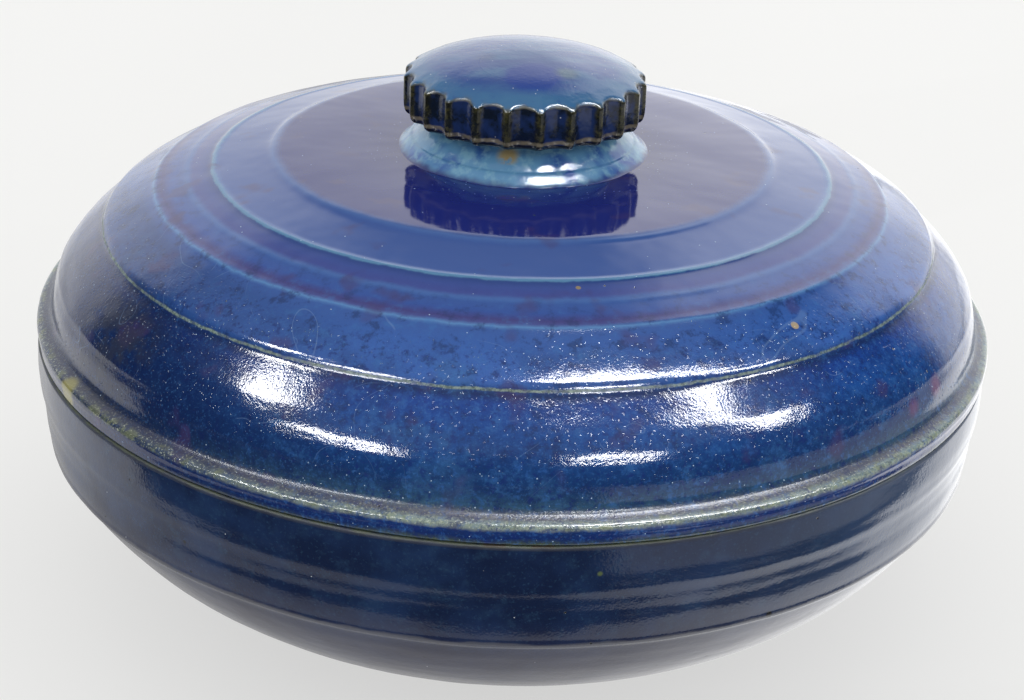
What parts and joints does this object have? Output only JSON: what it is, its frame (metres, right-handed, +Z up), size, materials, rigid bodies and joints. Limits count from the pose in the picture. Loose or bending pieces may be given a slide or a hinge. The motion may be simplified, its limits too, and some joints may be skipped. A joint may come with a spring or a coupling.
{
  "type": "lidded bowl",
  "caption": "Squat round stoneware bowl on a foot ring, with a drop-in domed lid and a fluted knob; holds yarn or small things.",
  "frame": {"origin": "on the bowl's axis, at the plane that the foot ring stands on", "axes": "+Z up along the axis that the bowl and lid are thrown around; +X and +Y are level and alike, apart from the knob's flutes"},
  "size_m": [0.2112, 0.2112, 0.1219],
  "materials": {
    "wall_glaze": "gloss",
    "bare_clay": "matte",
    "lid_glaze": "gloss",
    "knob_glaze": "gloss"
  },
  "bodies": {
    "bowl_body": {"bowl": "wall_glaze", "foot_ring": "bare_clay"},
    "lid_body": {"lid": "lid_glaze", "lid_flange": "bare_clay", "knob_stem": "lid_glaze", "knob": "knob_glaze"}
  },
  "joints": [
    {"name": "lid_lift", "type": "slide", "parent": "bowl_body", "child": "lid_body", "axis": [0, 0, 1], "range_m": [0, 0.1]}
  ]
}
